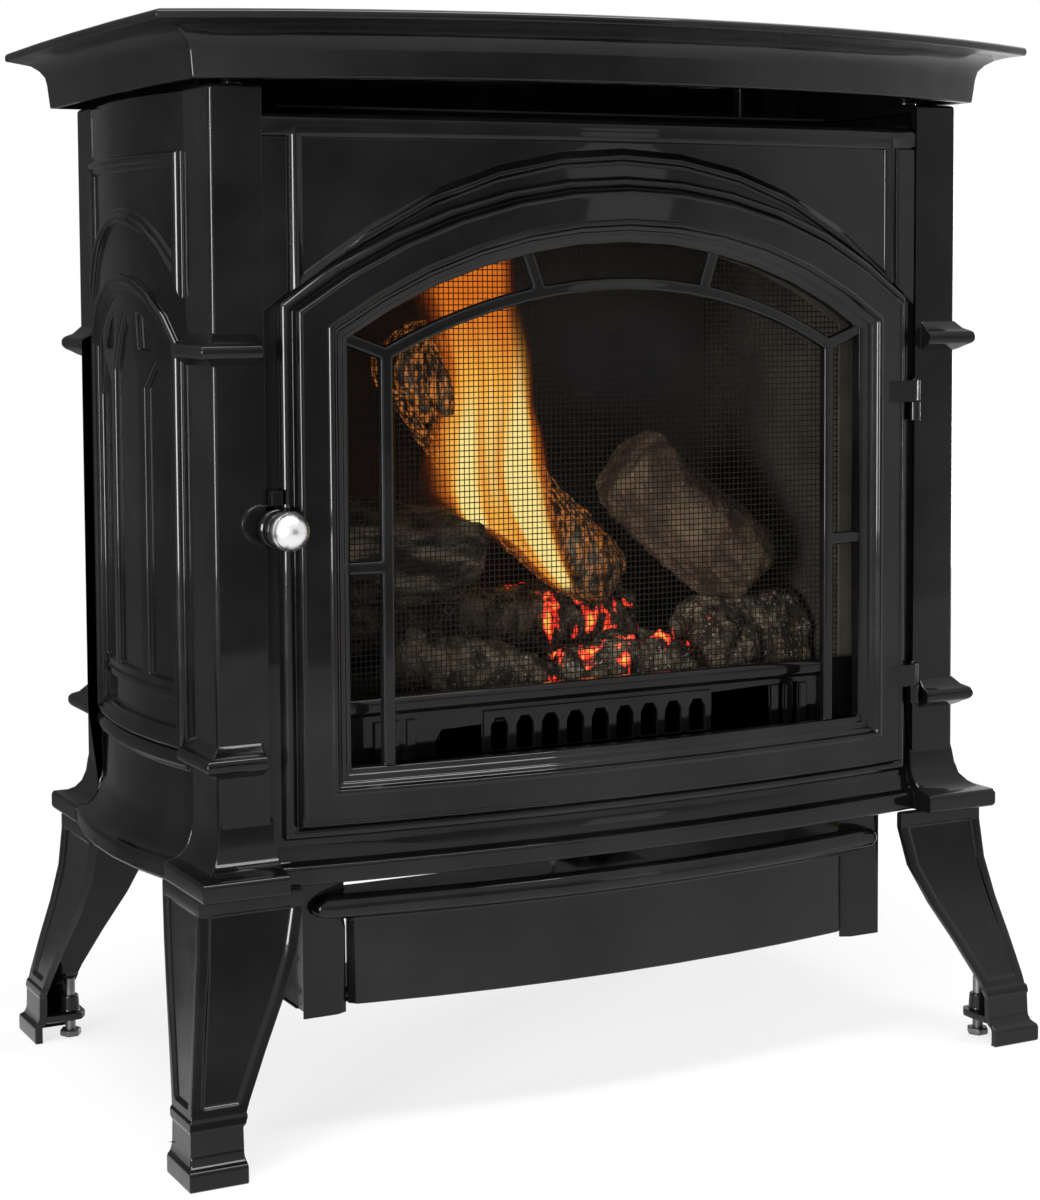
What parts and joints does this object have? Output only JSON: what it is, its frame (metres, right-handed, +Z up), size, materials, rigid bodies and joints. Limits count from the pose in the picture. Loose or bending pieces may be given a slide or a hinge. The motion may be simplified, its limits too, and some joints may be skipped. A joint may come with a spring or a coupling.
{
  "type": "gas stove heater",
  "caption": "Free-standing cast-iron gas stove heater with an arched, barred door, a bowed mantel, curved legs, a log set and a gas train behind a drop-front cover.",
  "frame": {"origin": "on the floor under the middle of the stove (bottom centre of its bounding box)", "axes": "+Z up, the door faces -Y, +X to the right of someone facing the door"},
  "size_m": [0.697, 0.4502, 0.7574],
  "materials": {
    "cast_iron_black": "gloss black porcelain enamel",
    "sheet_black": "matt black heat paint",
    "steel_plated": "zinc plated",
    "nickel": "satin nickel plate",
    "die_cast": "die cast",
    "tube_alloy": "plain",
    "brass": "plain",
    "plastic_black": "matt",
    "ceramic_white": "glazed ceramic",
    "ceramic_log": "rough ceramic fibre"
  },
  "bodies": {
    "stove": {"mantel_top": "cast_iron_black", "front_frame": "cast_iron_black", "side_panel_left": "cast_iron_black", "side_panel_right": "cast_iron_black", "hinge_upper": "cast_iron_black", "hinge_lower": "cast_iron_black", "latch_stop": "cast_iron_black", "leg_front_left": "cast_iron_black", "leg_front_right": "cast_iron_black", "leg_rear_left": "cast_iron_black", "leg_rear_right": "cast_iron_black", "fender": "cast_iron_black", "bottom_plate": "sheet_black", "rear_panel": "sheet_black", "firebox": "sheet_black", "heat_baffle": "sheet_black", "screen_surround": "sheet_black", "spark_screen": "sheet_black", "burner_tray": "sheet_black", "control_panel": "sheet_black", "skirt_pan": "sheet_black", "mixing_tube": "steel_plated", "pilot_burner": "steel_plated", "cover_pin_left": "steel_plated", "cover_pin_right": "steel_plated", "gas_valve": "die_cast", "gas_regulator": "die_cast", "supply_tube": "tube_alloy", "pilot_tube": "tube_alloy", "flame_sensor": "tube_alloy", "gas_inlet_tube": "brass", "igniter_body": "ceramic_white", "spark_electrode": "ceramic_white", "log_shelf": "ceramic_log", "log_rear": "ceramic_log", "log_left": "ceramic_log", "log_leaning": "ceramic_log", "log_front_right": "ceramic_log", "log_right": "ceramic_log", "log_front_left": "ceramic_log", "ember_bed": "ceramic_log"},
    "door_leaf": {"door": "cast_iron_black"},
    "door_latch": {"door_knob": "nickel", "latch_cam": "steel_plated"},
    "valve_knob": {"control_knob": "plastic_black"},
    "igniter_push": {"igniter_button": "plastic_black"},
    "drop_cover": {"control_cover": "cast_iron_black"},
    "foot_front_left": {"leveler_front_left": "steel_plated"},
    "foot_front_right": {"leveler_front_right": "steel_plated"},
    "foot_rear_left": {"leveler_rear_left": "steel_plated"},
    "foot_rear_right": {"leveler_rear_right": "steel_plated"}
  },
  "joints": [
    {"name": "door_swing", "type": "hinge", "parent": "stove", "child": "door_leaf", "pos_m": [0.2595, -0.123, 0.4], "axis": [0, 0, 1], "range_deg": [0, 100]},
    {"name": "door_knob_turn", "type": "hinge", "parent": "door_leaf", "child": "door_latch", "pos_m": [-0.2575, -0.119, 0.421], "axis": [0, 1, 0], "range_deg": [0, 90]},
    {"name": "control_knob_turn", "type": "hinge", "parent": "stove", "child": "valve_knob", "pos_m": [0.035, -0.078, 0.135], "axis": [0, 1, 0], "range_deg": [0, 180]},
    {"name": "igniter_push", "type": "slide", "parent": "stove", "child": "igniter_push", "axis": [0, 1, 0], "range_m": [0, 0.005], "stiffness_N_per_m": 600},
    {"name": "control_cover_drop", "type": "hinge", "parent": "stove", "child": "drop_cover", "pos_m": [0, -0.102, 0.094], "axis": [1, 0, 0], "range_deg": [0, 90]},
    {"name": "leveler_front_left_screw", "type": "slide", "parent": "stove", "child": "foot_front_left", "axis": [0, 0, 1], "range_m": [0, 0.0075]},
    {"name": "leveler_front_right_screw", "type": "slide", "parent": "stove", "child": "foot_front_right", "axis": [0, 0, 1], "range_m": [0, 0.0075]},
    {"name": "leveler_rear_left_screw", "type": "slide", "parent": "stove", "child": "foot_rear_left", "axis": [0, 0, 1], "range_m": [0, 0.0075]},
    {"name": "leveler_rear_right_screw", "type": "slide", "parent": "stove", "child": "foot_rear_right", "axis": [0, 0, 1], "range_m": [0, 0.0075]}
  ]
}
